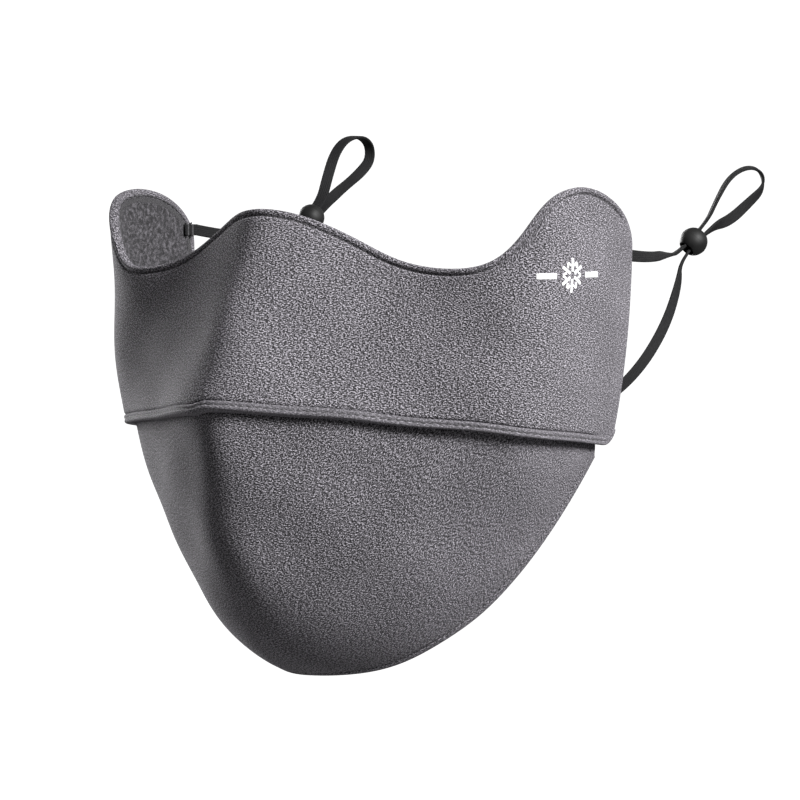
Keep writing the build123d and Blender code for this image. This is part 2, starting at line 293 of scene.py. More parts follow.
def chin_skin(s, t):
    """Outer surface of the chin panel: t is 0 at the hem, 1 at the rim, and below 0 in the tuck."""
    share = np.clip(np.abs(s) / CHIN_EDGE_AT, 0, 1)
    start = band_bare(s, -hem_fall(s), CHIN_DEPTH)
    tuck = band_bare(s, -hem_fall(s) - np.minimum(t, 0) * CHIN_TUCK, CHIN_DEPTH)
    end = band_bare(CHIN_EDGE_AT, -hem_fall(CHIN_EDGE_AT), CHIN_DEPTH)
    across = np.sin(share * np.pi / 2)
    back = np.hypot(across * end[0], CHIN_RIM_ROUND) - CHIN_RIM_ROUND
    back = back / (np.hypot(end[0], CHIN_RIM_ROUND) - CHIN_RIM_ROUND)
    rim_height = -CHIN_DROP + (end[2] - CHIN_SIDE + CHIN_DROP) * across**CHIN_RIM_POWER
    rim = stack(np.sign(s) * across * end[0], CHIN_SETBACK + (end[1] - CHIN_SETBACK) * back, rim_height)
    down = np.maximum(t, 0)[..., None]
    gone = 2 * down * (1 - down) * np.array(CHIN_BULGE) + down * down
    return np.where(down > 0, start + (rim - start) * gone, tuck)


LENGTH_S = np.linspace(-CHIN_EDGE_AT, CHIN_EDGE_AT, 267)
LENGTH_T = np.linspace(1, -1, 241)
LENGTH_SHARES = np.linspace(0, 1, 121)


def chin_table():
    """Length of the chin panel up from its rim at each s, and t over the share of that length."""
    s, t = np.meshgrid(LENGTH_S, LENGTH_T, indexing="ij")
    points = chin_skin(s, t)
    steps = np.linalg.norm(np.diff(points, axis=1), axis=2)
    gone = np.concatenate([np.zeros((len(s), 1)), np.cumsum(steps, axis=1)], axis=1)
    total = gone[:, -1]
    inverse = [np.interp(LENGTH_SHARES, row / row[-1], LENGTH_T) for row in gone]
    return total, np.array(inverse)


CHIN_LENGTH, CHIN_INVERSE = chin_table()


def chin_length(s):
    return np.interp(s, LENGTH_S, CHIN_LENGTH)


def table_value(table, row, column):
    """Bilinear value of a table at fractional rows and columns."""
    r = np.clip(row.astype(int), 0, table.shape[0] - 2)
    c = np.clip(column.astype(int), 0, table.shape[1] - 2)
    fr, fc = row - r, column - c
    low = table[r, c] * (1 - fc) + table[r, c + 1] * fc
    high = table[r + 1, c] * (1 - fc) + table[r + 1, c + 1] * fc
    return low * (1 - fr) + high * fr


def chin(s, w, depth):
    """Point of the chin panel, w millimetres up from its rim and depth inside its surface."""
    row = np.clip((s + CHIN_EDGE_AT) / (LENGTH_S[1] - LENGTH_S[0]), 0, len(LENGTH_S) - 1)
    column = np.clip(w / chin_length(s), 0, 1) * (len(LENGTH_SHARES) - 1)
    t = table_value(CHIN_INVERSE, row, column)
    normal = inward(chin_skin, s, t, 0.3, -0.01)
    return soften(chin_skin(s, t) + normal * np.asarray(depth)[..., None])


# ---- mesh helpers ---------------------------------------------------------------------------
def make_piece(name, points, faces, material, cloth=None):
    """A smooth mesh object. cloth is each point's place on the flat cloth, for its material."""
    mesh = bpy.data.meshes.new(name)
    mesh.from_pydata((np.asarray(points).reshape(-1, 3) * MM).tolist(), [], faces)
    mesh.polygons.foreach_set("use_smooth", [True] * len(mesh.polygons))
    if cloth is not None:
        flat = np.zeros((len(mesh.vertices), 3), np.float32)
        flat[:, :2] = np.asarray(cloth).reshape(-1, 2)
        attribute = mesh.attributes.new("cloth", "FLOAT_VECTOR", "POINT")
        attribute.data.foreach_set("vector", flat.ravel())
    mesh.materials.append(material)
    mesh.update()
    piece = bpy.data.objects.new(name, mesh)
    bpy.context.scene.collection.objects.link(piece)
    return piece


def distances(line):
    """Distance of each point of a polyline from its start, along the line."""
    return np.concatenate([[0], np.cumsum(np.linalg.norm(np.diff(line, axis=0), axis=1))])


def at_distances(at, gone, values):
    """The rows of values, given at the distances gone, interpolated at the distances at."""
    return np.stack([np.interp(at, gone, column) for column in values.T], axis=-1)


def even(points, count):
    """count points along a polyline, evenly spaced."""
    gone = distances(points)
    return at_distances(np.linspace(0, gone[-1], count), gone, points)


def closed_loop(bottom, right, top, left):
    """Joins four sides, each given left to right or bottom to top, anticlockwise."""
    return np.concatenate([bottom[:-1], right[:-1], top[:0:-1], left[:0:-1]])


def left_of(ahead):
    """Unit vectors to the left of directions in the flat."""
    return unit(stack(-ahead[:, 1], ahead[:, 0]))


def loop_normals(loop):
    return left_of(np.roll(loop, -1, axis=0) - np.roll(loop, 1, axis=0))


def line_normals(line):
    return left_of(np.gradient(line, axis=0))


def past_corner(side, corner, normal, distance):
    """Which points of a side that starts at a corner do not lie behind that corner."""
    ahead = np.array([normal[1], -normal[0]])
    away = np.linalg.norm(side - corner, axis=1) > 3 * distance
    return away | ((side - corner) @ ahead > 0)


def moved_in(loop, columns, rows, distance):
    """The loop moved inwards. Its four sides are cut off where they meet and spaced out again."""
    ends = [0, columns, columns + rows, 2 * columns + rows, len(loop)]
    closed = np.concatenate([loop, loop[:1]])
    distance = np.append(distance, distance[0])[:, None]
    lines = [closed[a : b + 1] for a, b in zip(ends, ends[1:])]
    normals = [line_normals(line) for line in lines]
    sides = []
    for i, line in enumerate(lines):
        before, after = normals[i - 1][-1], normals[(i + 1) % 4][0]
        first, last = normals[i][0], normals[i][-1]
        far = distance[ends[i] : ends[i + 1] + 1]
        start = line[0] + (before + first) / (1 + before @ first) * far[0]
        end = line[-1] + (last + after) / (1 + last @ after) * far[-1]
        side = line + normals[i] * far
        kept = past_corner(side, start, first, far[0]) & past_corner(side[::-1], end, -last, far[-1])[::-1]
        sides.append(even(np.concatenate([[start], side[kept], [end]]), len(side))[:-1])
    return np.concatenate(sides)


def fill(ring, columns, rows):
    """A grid of points between the four sides of a ring."""
    bottom = ring[: columns + 1]
    right = ring[columns : columns + rows + 1]
    top = ring[columns + rows : 2 * columns + rows + 1][::-1]
    left = np.concatenate([ring[2 * columns + rows :], ring[:1]])[::-1]
    u = np.linspace(0, 1, columns + 1)[None, :, None]
    v = np.linspace(0, 1, rows + 1)[:, None, None]
    across = (1 - v) * bottom[None] + v * top[None]
    upward = (1 - u) * left[:, None] + u * right[:, None]
    low = (1 - u) * bottom[0] + u * bottom[-1]
    high = (1 - u) * top[0] + u * top[-1]
    return across + upward - (1 - v) * low - v * high


def ring_ids(columns, rows):
    """Grid indices of the ring round a grid, anticlockwise from the lower left corner."""
    wide = columns + 1
    bottom = list(range(columns))
    right = [v * wide + columns for v in range(rows)]
    top = [rows * wide + u for u in range(columns, 0, -1)]
    left = [v * wide for v in range(rows, 0, -1)]
    return bottom + right + top + left


BACK_CLOTH = 400            # the back of a sheet shows the cloth from this far away


def sheet_faces(columns, rows, between):
    """Faces of a closed sheet: a grid, rings of points between its edge and the back's, and the back."""
    wide = columns + 1
    size = wide * (rows + 1)
    edge = ring_ids(columns, rows)
    start_back = size + between * len(edge)
    faces = []
    for v in range(rows):
        for u in range(columns):
            a = v * wide + u
            faces.append((a, a + 1, a + 1 + wide, a + wide))
            b = start_back + a
            faces.append((b, b + wide, b + 1 + wide, b + 1))
    rings = [edge]
    rings += [[size + i * len(edge) + k for k in range(len(edge))] for i in range(between)]
    rings.append([start_back + k for k in edge])
    for near, far in zip(rings, rings[1:]):
        for k in range(len(edge)):
            n = (k + 1) % len(edge)
            faces.append((near[n], near[k], far[k], far[n]))
    return faces


def sheet_mesh(place, loop, rims, weights, columns, rows):
    """Points, faces and cloth places of a closed sheet: a face, a rim all round, and a back.

    rims are lists of (distance from the loop, depth), mixed at each point of the loop by weights.
    """
    rim = np.einsum("rk,rsc->skc", np.array(weights, float), np.array(rims, float))
    gone = np.cumsum(np.linalg.norm(np.diff(rim, axis=0), axis=2), axis=0)
    flats = [moved_in(loop, columns, rows, step[:, 0]) for step in rim]
    cloth = [flats[0] - loop_normals(loop) * step[:, None] for step in gone[:-1]]
    depths = list(rim[..., 1])
    for end in (0, -1):
        flats[end] = fill(flats[end], columns, rows).reshape(-1, 2)
        depths[end] = fill(depths[end][:, None], columns, rows).reshape(-1)
    cloth = [flats[0]] + cloth + [flats[-1] + BACK_CLOTH]
    flat = np.concatenate(flats)
    points = place(flat[:, 0], flat[:, 1], np.concatenate(depths))
    return points, sheet_faces(columns, rows, len(rim) - 2), np.concatenate(cloth)


def tube_faces(stations, ring):
    """Faces of a tube with ring points at each station, closed at both ends."""
    faces = []
    for i in range(stations - 1):
        for k in range(ring):
            n = (k + 1) % ring
            faces.append((i * ring + k, i * ring + n, (i + 1) * ring + n, (i + 1) * ring + k))
    faces.append(tuple(range(ring - 1, -1, -1)))
    faces.append(tuple((stations - 1) * ring + k for k in range(ring)))
    return faces


def tube_mesh(centres, first, second, section):
    """A tube through centres (stations x 3). section is points x 2, in the axes first and second."""
    across = first[:, None] * section[None, :, :1]
    upward = second[:, None] * section[None, :, 1:]
    shape = centres[:, None] + across + upward
    return shape.reshape(-1, 3), tube_faces(len(centres), len(section))


def cloth_round(line, section):
    """Cloth places of a tube: along its line, and round its section."""
    return stack(np.repeat(distances(line), len(section)), np.tile(distances(section), len(line)))


def join(parts):
    """Joins (points, faces) pairs into one."""
    points, faces, start = [], [], 0
    for part_points, part_faces in parts:
        points.append(part_points)
        faces += [tuple(start + k for k in face) for face in part_faces]
        start += len(part_points)
    return np.concatenate(points), faces


# ---- materials ------------------------------------------------------------------------------
def node(tree, kind, settings, inputs):
    made = tree.nodes.new(kind)
    for name, value in settings.items():
        setattr(made, name, value)
    for name, value in inputs.items():
        if isinstance(value, bpy.types.NodeSocket):
            tree.links.new(value, made.inputs[name])
        else:
            made.inputs[name].default_value = value
    return made


def new_material(name, **values):
    """A material and its Principled shader, with these values on the shader's sockets."""
    material = bpy.data.materials.new(name)
    material.use_nodes = True
    shader = material.node_tree.nodes["Principled BSDF"]
    for key, value in values.items():
        shader.inputs[key.replace("_", " ")].default_value = value
    return material, material.node_tree, shader


def cloth_place(tree, turn=0.0, scale=(1, 1, 1)):
    """The place on the flat cloth in millimetres, turned and scaled."""
    source = node(tree, "ShaderNodeAttribute", {"attribute_name": "cloth"}, {}).outputs["Vector"]
    inputs = {"Vector": source, "Rotation": (0, 0, math.radians(turn)), "Scale": scale}
    return node(tree, "ShaderNodeMapping", {"vector_type": "POINT"}, inputs).outputs["Vector"]


def noise(tree, place, scale, detail=2.0, rough=0.5, distortion=0.0):
    inputs = {"Vector": place, "Scale": scale, "Detail": detail, "Roughness": rough}
    inputs["Distortion"] = distortion
    return node(tree, "ShaderNodeTexNoise", {}, inputs).outputs["Fac"]


def wave(tree, place, scale, distortion=0.0):
    inputs = {"Vector": place, "Scale": scale, "Distortion": distortion}
    return node(tree, "ShaderNodeTexWave", {"bands_direction": "X"}, inputs).outputs["Fac"]


def math_node(tree, operation, a, b):
    return node(tree, "ShaderNodeMath", {"operation": operation}, {0: a, 1: b}).outputs[0]


def weighted(tree, terms):
    """Sum of socket times weight."""
    total = None
    for socket, weight in terms:
        term = math_node(tree, "MULTIPLY", socket, weight)
        total = term if total is None else math_node(tree, "ADD", total, term)
    return total


def ramp(tree, socket, stops):
    made = node(tree, "ShaderNodeValToRGB", {}, {"Fac": socket})
    elements = made.color_ramp.elements
    for element, (position, color) in zip(elements, (stops[0], stops[-1])):
        element.position = position
        element.color = (*color, 1)
    for position, color in stops[1:-1]:
        elements.new(position).color = (*color, 1)
    return made.outputs["Color"]


def tinted(level, tint):
    return tuple(level * part for part in tint)


def paint(tree, shader, value, stops, tint=(1, 1, 1)):
    """The base color: tinted grey levels over a value."""
    colors = [(position, tinted(level, tint)) for position, level in stops]
    tree.links.new(ramp(tree, value, colors), shader.inputs["Base Color"])


def bump(tree, shader, height, strength, distance):
    inputs = {"Height": height, "Strength": strength, "Distance": distance * MM}
    made = node(tree, "ShaderNodeBump", {}, inputs)
    tree.links.new(made.outputs["Normal"], shader.inputs["Normal"])


KNIT_TINT = (1.0, 0.95, 1.045)
FLATTER_FROM = 105.0        # from here to the side edge the knit's relief falls off, and the painted shade in its pits with it
RELIEF_AND_PIT_SHADE_LEFT = 0.35       # share of the relief, and of the painted shade in its pits, left at the side edge
FLATTER_AROUND_LEVEL = 0.515       # height that stays as it is


def pressed(tree, place, height):
    """The knit's relief made flatter towards the side edges, and with it the painted shade in its pits."""
    parts = node(tree, "ShaderNodeSeparateXYZ", {}, {0: place}).outputs
    inputs = {
        "Value": math_node(tree, "ABSOLUTE", parts["X"], 0.0),
        "From Min": FLATTER_FROM,
        "From Max": EDGE_AT,
        "To Min": 1.0,
        "To Max": RELIEF_AND_PIT_SHADE_LEFT,
    }
    share = node(tree, "ShaderNodeMapRange", {}, inputs).outputs["Result"]
    above = math_node(tree, "SUBTRACT", height, FLATTER_AROUND_LEVEL)
    return math_node(tree, "ADD", math_node(tree, "MULTIPLY", above, share), FLATTER_AROUND_LEVEL)


def heather_knit():
    """Brushed heather knit: light and dark fibres over fine diagonal loops, with painted shade: the colour
    is darker where the relief is low, in its pits.
    """
    material, tree, shader = new_material(
        "heather_knit", Roughness=0.92, Sheen_Weight=0.15, Sheen_Roughness=0.45, Specular_IOR_Level=0.25
    )
    shader.inputs["Sheen Tint"].default_value = (*tinted(0.8, KNIT_TINT), 1)
    flat = cloth_place(tree)
    fibres = noise(tree, flat, 2.6, 1.0, 0.5)
    falling = noise(tree, cloth_place(tree, 42, (1.3, 3.6, 1)), 1.0, 0.0)
    rising = noise(tree, cloth_place(tree, -42, (1.3, 3.6, 1)), 1.0, 0.0)
    clouds = noise(tree, flat, 0.06, 2.0, 0.5)
    raised = weighted(tree, [(fibres, 0.5), (falling, 0.3), (rising, 0.2)])
    height = pressed(tree, flat, raised)
    shown = weighted(tree, [(height, 1.0), (clouds, 0.04)])
    # painted shade: the colour follows the relief's height and is darkest in its pits, over the fibres'
    # own light and dark
    stops = [(0.45, 0.018), (0.50, 0.07), (0.54, 0.13), (0.61, 0.42)]
    paint(tree, shader, shown, stops, KNIT_TINT)
    bump(tree, shader, height, 1.0, 1.1)
    return material


def fleece():
    """Short fleece pile: soft clumps of fibre."""
    material, tree, shader = new_material(
        "fleece", Roughness=1.0, Sheen_Weight=0.1, Sheen_Roughness=0.6, Specular_IOR_Level=0.1
    )
    flat = cloth_place(tree)
    clumps = noise(tree, flat, 0.75, 3.0, 0.6, 0.6)
    fibres = noise(tree, flat, 3.0, 2.0, 0.6, 0.3)
    height = weighted(tree, [(clumps, 0.6), (fibres, 0.4)])
    paint(tree, shader, height, [(0.42, 0.016), (0.51, 0.04), (0.60, 0.11)], KNIT_TINT)
    bump(tree, shader, height, 0.9, 0.5)
    return material


def channel_tape():
    """Plain woven tape: fine crossing yarns."""
    material, tree, shader = new_material("channel_tape", Roughness=0.85, Sheen_Weight=0.2)
    warp = wave(tree, cloth_place(tree), 0.9)
    weft = wave(tree, cloth_place(tree, 90), 0.9)
    yarns = math_node(tree, "MULTIPLY", warp, weft)
    uneven = noise(tree, cloth_place(tree), 2.0)
    height = weighted(tree, [(yarns, 0.7), (uneven, 0.3)])
    paint(tree, shader, height, [(0.1, 0.09), (0.7, 0.20)], KNIT_TINT)
    bump(tree, shader, height, 0.5, 0.15)
    return material


def sewing_thread():
    """Twisted polyester thread."""
    material, tree, shader = new_material("sewing_thread", Roughness=0.6, Sheen_Weight=0.2)
    place = node(tree, "ShaderNodeTexCoord", {}, {}).outputs["Object"]
    fibres = noise(tree, place, 2600.0, 2.0)
    paint(tree, shader, fibres, [(0.35, 0.015), (0.65, 0.06)], KNIT_TINT)
    bump(tree, shader, fibres, 0.5, 0.08)
    return material


def ribbed_elastic():
    """Black braided elastic: yarns cross the ribs at a slant, mirrored from rib to rib."""
    material, tree, shader = new_material("ribbed_elastic", Roughness=0.6, Specular_IOR_Level=0.08)
    yarns = wave(tree, cloth_place(tree, 45), 0.85, 0.6)
    crossing = wave(tree, cloth_place(tree, -45), 0.85, 0.6)
    uneven = noise(tree, cloth_place(tree), 1.6)
    height = weighted(tree, [(yarns, 0.35), (crossing, 0.35), (uneven, 0.3)])
    stops = [(0.3, (0.002, 0.002, 0.002)), (0.7, (0.024, 0.024, 0.025))]
    tree.links.new(ramp(tree, height, stops), shader.inputs["Base Color"])
    bump(tree, shader, height, 0.7, 0.12)
    return material


def matt_silicone():
    """Matt black silicone with a faint mould texture."""
    material, tree, shader = new_material("matt_silicone", Specular_IOR_Level=0.3)
    place = node(tree, "ShaderNodeTexCoord", {}, {}).outputs["Object"]
    grain = noise(tree, place, 2200.0, 3.0)
    dust = noise(tree, place, 260.0, 2.0)
    paint(tree, shader, dust, [(0.3, 0.006), (0.7, 0.011)])
    rough = weighted(tree, [(dust, 0.2), (grain, 0.1)])
    tree.links.new(math_node(tree, "ADD", rough, 0.42), shader.inputs["Roughness"])
    bump(tree, shader, grain, 0.25, 0.05)
    return material


def transfer_print():
    """White heat-transfer film, lightly pressed into the knit."""
    material, tree, shader = new_material("transfer_print", Roughness=0.5)
    place = node(tree, "ShaderNodeTexCoord", {}, {}).outputs["Object"]
    knit = noise(tree, place, 1500.0, 2.0)
    paint(tree, shader, knit, [(0.3, 0.82), (0.6, 0.93)])
    bump(tree, shader, knit, 0.25, 0.1)
    return material


def soft_aluminium():
    """Soft aluminium strip with a drawn grain along it."""
    material, tree, shader = new_material("soft_aluminium", Metallic=1.0, Roughness=0.4)
    grain = noise(tree, cloth_place(tree, 0, (0.1, 6, 1)), 2.0, 2.0)
    paint(tree, shader, grain, [(0.3, 0.55), (0.7, 0.75)])
    bump(tree, shader, grain, 0.2, 0.03)
    return material


KNIT = heather_knit()
FLEECE = fleece()
TAPE = channel_tape()
THREAD = sewing_thread()
ELASTIC = ribbed_elastic()
SILICONE = matt_silicone()
PRINT = transfer_print()
ALUMINIUM = soft_aluminium()


# ---- camera ---------------------------------------------------------------------------------
AZIMUTH = math.radians(34.98)
ELEVATION = math.radians(2.46)
DISTANCE = 1.3304
TARGET = Vector((0, 0.050, 0))
AIM_RIGHT = 0.0255
AIM_UP = 0.0010


def make_camera():
    back = Vector((
        math.sin(AZIMUTH) * math.cos(ELEVATION),
        -math.cos(AZIMUTH) * math.cos(ELEVATION),
        math.sin(ELEVATION),
    ))
    right = Vector((math.cos(AZIMUTH), math.sin(AZIMUTH), 0))
    up = back.cross(right)
    data = bpy.data.cameras.new("camera")
    data.lens = 210
    data.sensor_width = 36
    data.clip_start = 0.05
    data.clip_end = 30
    camera = bpy.data.objects.new("camera", data)
    camera.location = TARGET + back * DISTANCE
    aim = TARGET + right * AIM_RIGHT + up * AIM_UP
    camera.rotation_mode = "QUATERNION"
    camera.rotation_quaternion = (aim - camera.location).to_track_quat("-Z", "Y")
    bpy.context.scene.collection.objects.link(camera)
    bpy.context.scene.camera = camera


# ---- ear elastics ---------------------------------------------------------------------------
RIBS = 6
RIB_HEIGHT = 0.07
STRAP_STEP = 0.5


def spline_points(points):
    """Points of the smooth NURBS line that has these control points."""
    data = bpy.data.curves.new("line", "CURVE")
    data.dimensions = "3D"
    spline = data.splines.new("NURBS")
    spline.points.add(len(points) - 1)
    for point, place in zip(spline.points, points):
        point.co = (*place, 1)
    spline.order_u = 3
    spline.use_endpoint_u = True
    spline.resolution_u = 24
    carrier = bpy.data.objects.new("line", data)
    mesh = bpy.data.meshes.new_from_object(carrier)
    found = np.array([vertex.co for vertex in mesh.vertices], float)
    bpy.data.objects.remove(carrier)
    bpy.data.curves.remove(data)
    bpy.data.meshes.remove(mesh)
    return found


def loop_route(side):
    """The route in metres, and the strap's turn as a line of its own."""
    places = [(x * MM, y * MM, z * MM) for x, y, z, turn in ROUTES[side]]
    turns = [(turn, 0, 0) for x, y, z, turn in ROUTES[side]]
    return places, turns


def strap_section():
    """Outline of the ribbed strap, width by thickness, with a rounded rib for each rubber cord."""
    half = ELASTIC_WIDTH / 2
    across = np.linspace(-half, half, RIBS * 6 + 1)
    share = np.clip((half - np.abs(across)) / (ELASTIC_THICK * 0.45), 0, 1)
    body = (ELASTIC_THICK / 2 - RIB_HEIGHT) * np.sqrt(1 - (1 - share) ** 2)
    ribs = RIB_HEIGHT * np.abs(np.sin(np.pi * RIBS * (across + half) / ELASTIC_WIDTH))
    top = stack(across, body + ribs * share)
    under = stack(across, -body - ribs * share)[::-1]
    return np.concatenate([top[:-1], under[:-1]])


def strap_mesh(line, turns):
    """Points, faces and cloth places of a strap along a line in millimetres, turned by turns."""
    tangent = unit(np.gradient(line, axis=0))
    sideways = np.array([1.0, 0, 0])
    across = unit(sideways - tangent * (tangent @ sideways)[:, None])
    upright = np.cross(tangent, across)
    angle = np.radians(turns)[:, None]
    wide = across * np.cos(angle) + upright * np.sin(angle)
    thick = np.cross(tangent, wide)
    section = strap_section()
    points, faces = tube_mesh(line, wide, thick, section)
    return points, faces, cloth_round(line, section)


def ear_elastic(hand, side):
    places, turns = loop_route(side)
    line = spline_points(places)
    angles = spline_points(turns)[:, 0]
    both = np.concatenate([line / MM, angles[:, None]], axis=1)
    gone = distances(line) / MM
    both = at_distances(np.arange(0, gone[-1], STRAP_STEP), gone, both)
    points, faces, cloth = strap_mesh(both[:, :3], both[:, 3])
    piece = make_piece(f"ear_strap_{hand}", points, faces, ELASTIC, cloth)
    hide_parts(f"ear_elastic_{hand}")
    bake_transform(piece)


# ---- beads ----------------------------------------------------------------------------------
BEAD_LIP = 0.45
MOULD_RIDGE = 0.035         # height of the mould's parting line round the bead
MOULD_RIDGE_ANGLE = 0.05
BEAD_AROUND = 96


def bead_profile():
    """Outline of the bead's half section: distance from the bore's axis, and place along it."""
    ball = BEAD_DIAMETER / 2
    bore = BEAD_BORE / 2
    half = math.sqrt(ball * ball - (bore + BEAD_LIP * 0.6) ** 2)
    widest = math.asin(half / ball)
    outside = [
        (ball * math.cos(a) + MOULD_RIDGE * math.exp(-((a / MOULD_RIDGE_ANGLE) ** 2)), ball * math.sin(a))
        for a in np.linspace(-widest, widest, 41)
    ]
    upper_lip = [
        (bore + BEAD_LIP * 0.5 * (1 - math.sin(a)), half - BEAD_LIP * (1 - math.cos(a)))
        for a in np.linspace(0, math.pi / 2, 7)
    ]
    lower_lip = [(r, -h) for r, h in upper_lip[::-1]]
    return outside + upper_lip + lower_lip


def stopper(hand, side):
    profile = bead_profile()
    centre, axis = (Vector(part) for part in BEADS[side])
    first = axis.cross(Vector((0, 0, 1))).normalized()
    second = axis.cross(first)
    points, faces = [], []
    for i in range(BEAD_AROUND):
        turn = 2 * math.pi * i / BEAD_AROUND
        out = first * math.cos(turn) + second * math.sin(turn)
        points += [centre + out * r + axis * h for r, h in profile]
    count = len(profile)
    for i in range(BEAD_AROUND):
        j = (i + 1) % BEAD_AROUND
        for k in range(count):
            n = (k + 1) % count
            faces.append((i * count + k, j * count + k, j * count + n, i * count + n))
    piece = make_piece(f"stopper_{hand}", np.array(points), faces, SILICONE)
    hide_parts(f"stopper_bead_{hand}")
    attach(piece, f"bead_{hand}")


# ---- the band -------------------------------------------------------------------------------
BAND_COLUMNS = 420
BAND_ROWS = 60

# outlines of the sheets' edges: distance from the edge, and depth inside the outer surface
TURNED_UNDER = [
    (0.0, 1.2), (0.12, 2.0), (0.42, 2.5), (0.9, 2.75), (1.5, 2.72), (1.95, 2.5),
    (2.0, 2.0), (2.0, 1.5), (2.3, 1.25), (3.6, 1.25),
]
TOP_RIM = [
    (3.6, 0.0), (2.75, 0.02), (2.4, 0.2), (2.15, 0.58), (2.0, 0.75), (1.85, 0.58), (1.6, 0.1),
    (1.25, -0.16), (0.8, -0.2), (0.4, -0.02), (0.12, 0.45), *TURNED_UNDER,
]
SIDE_RIM = [
    (3.6, 0.0), (2.75, 0.0), (2.4, 0.0), (2.15, 0.02), (2.0, 0.02), (1.85, 0.02), (1.6, 0.0),
    (1.25, -0.04), (0.8, -0.04), (0.4, 0.1), (0.12, 0.5), *TURNED_UNDER,
]
UNDER_HEM_RIM = [
    (3.6, 0.0), (3.3, 0.02), (3.05, 0.1), (2.85, 0.24), (2.7, 0.4), (2.6, 0.5), (2.5, 0.56),
    (2.4, 0.6), (2.3, 0.64), (2.2, 0.68), (2.1, 0.74), (2.05, 0.8), (2.05, 0.85), (2.05, 0.9),
    (2.1, 0.96), (2.2, 1.02), (2.35, 1.08), (2.55, 1.14), (2.8, 1.19), (3.1, 1.23), (3.6, 1.25),
]
LINING_RIM = [
    (1.8, LINING), (0.5, LINING), (0.12, LINING + 0.1), (0.0, LINING + 0.4),
    (0.0, BACK - 0.45), (0.12, BACK - 0.13), (0.5, BACK), (1.8, BACK),
]


def dense_top():
    """The band's top edge, from the left end of the straight side edge to the right one."""
    turn = np.linspace(0, math.pi / 2, 160)
    straight = np.linspace(0, CORNER_START, 430)[:-1]
    half = np.concatenate([straight, CORNER_START + CORNER_LENGTH * np.sin(turn)])
    height = top_edge(half)
    height[-1] = top_edge(EDGE_AT)
    right = stack(half, height)
    left = right[:0:-1] * (-1, 1)
    return np.concatenate([left, right])


def corner_arc(start, end):
    """The band's rounded lower corner on the left side of the face, between two angles in degrees."""
    turn = np.radians(np.linspace(start, end, 40))
    s = EDGE_AT - HEM_CORNER + HEM_CORNER * np.sin(turn)
    return stack(s, HEM_CORNER * (1 - np.cos(turn)) - hem_fall(s))


def band_loop(columns, rows):
    """The band's outline, whose corners for the grid are the middles of the rounded ones."""
    top = even(dense_top(), columns + 1)
    corner = corner_arc(45, 90)
    side = np.concatenate([corner, [[EDGE_AT, top_edge(EDGE_AT)]]])
    right = even(side, rows + 1)
    left = right * (-1, 1)
    left[0, 1] = hem(left[0, 0])
    s = top[:, 0] * corner[0, 0] / EDGE_AT
    bottom = stack(s, hem(s))
    bottom[0], bottom[-1] = left[0], right[0]
    return closed_loop(bottom, right, top, left)


def loop_weights(loop, columns, rows):
    """How much each point of the band's outline belongs to its top, its sides and its hem."""
    count = len(loop)
    index = np.arange(count)
    on_hem = (index <= columns) * smooth((EDGE_AT - 2 - np.abs(loop[:, 0])) / 6)
    on_top = (index >= columns + rows) & (index <= 2 * columns + rows)
    on_top = on_top * smooth((EDGE_AT - 1 - np.abs(loop[:, 0])) / 5)
    return [on_top, 1 - on_top - on_hem, on_hem]


def nose_band():
    loop = band_loop(BAND_COLUMNS, BAND_ROWS)
    weights = loop_weights(loop, BAND_COLUMNS, BAND_ROWS)
    rims = [TOP_RIM, SIDE_RIM, UNDER_HEM_RIM]
    points, faces, cloth = sheet_mesh(band, loop, rims, weights, BAND_COLUMNS, BAND_ROWS)
    piece = make_piece("nose_band", points, faces, KNIT, cloth)
    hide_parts("nose_band_outer", "top_edge_roll", "side_edge_roll_left", "side_edge_roll_right")
    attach(piece, "mask")


def nose_band_lining():
    columns, rows = 240, 36
    outline = band_loop(columns, rows)
    loop = moved_in(outline, columns, rows, np.full(len(outline), 2.1))
    points, faces, cloth = sheet_mesh(band, loop, [LINING_RIM], [np.ones(len(loop))], columns, rows)
    piece = make_piece("band_lining", points, faces, FLEECE, cloth)
    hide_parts("nose_band_lining")
    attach(piece, "mask")


# section of the folded strip: height above the band's lower edge, and depth
HEM_SECTION = [
    (2.52, 0.55), (2.5, 0.2), (2.35, -0.08), (2.05, -0.24), (1.7, -0.24), (1.45, -0.1), (1.3, 0.02),
    (1.15, -0.12), (0.85, -0.32), (0.5, -0.34), (0.18, -0.1), (0.0, 0.5), (0.0, 1.9), (0.15, 2.5),
    (0.5, 2.82), (1.3, 2.9), (2.1, 2.86), (2.4, 2.6), (2.3, 2.0), (2.1, 1.5), (2.1, 1.1), (2.3, 0.8),
]


def hem_line():
    """The band's lower edge from side edge to side edge, round both corners."""
    right = corner_arc(0, 90)
    s = np.linspace(-right[0, 0], right[0, 0], 700)
    middle = stack(s, hem(s))
    left = right[::-1] * (-1, 1)
    return np.concatenate([left[:-1], middle, right[1:]])


def hem_strip():
    line = even(hem_line(), 460)
    normals = line_normals(line)
    section = np.array(HEM_SECTION)
    flat = line[:, None] + normals[:, None] * section[None, :, :1]
    depth = np.broadcast_to(section[:, 1], flat.shape[:2])
    points = band(flat[..., 0].ravel(), flat[..., 1].ravel(), depth.ravel())
    faces = tube_faces(len(line), len(section))
    piece = make_piece("folded_hem", points, faces, KNIT, cloth_round(line, section))
    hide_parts("band_hem_fold")
    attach(piece, "mask")


# ---- the chin panel -------------------------------------------------------------------------
CHIN_COLUMNS = 280
CHIN_ROWS = 100
CHIN_CORNER = 3.0
CHIN_CLOTH = (0, 37)        # the chin panel is cut from another place of the cloth than the band

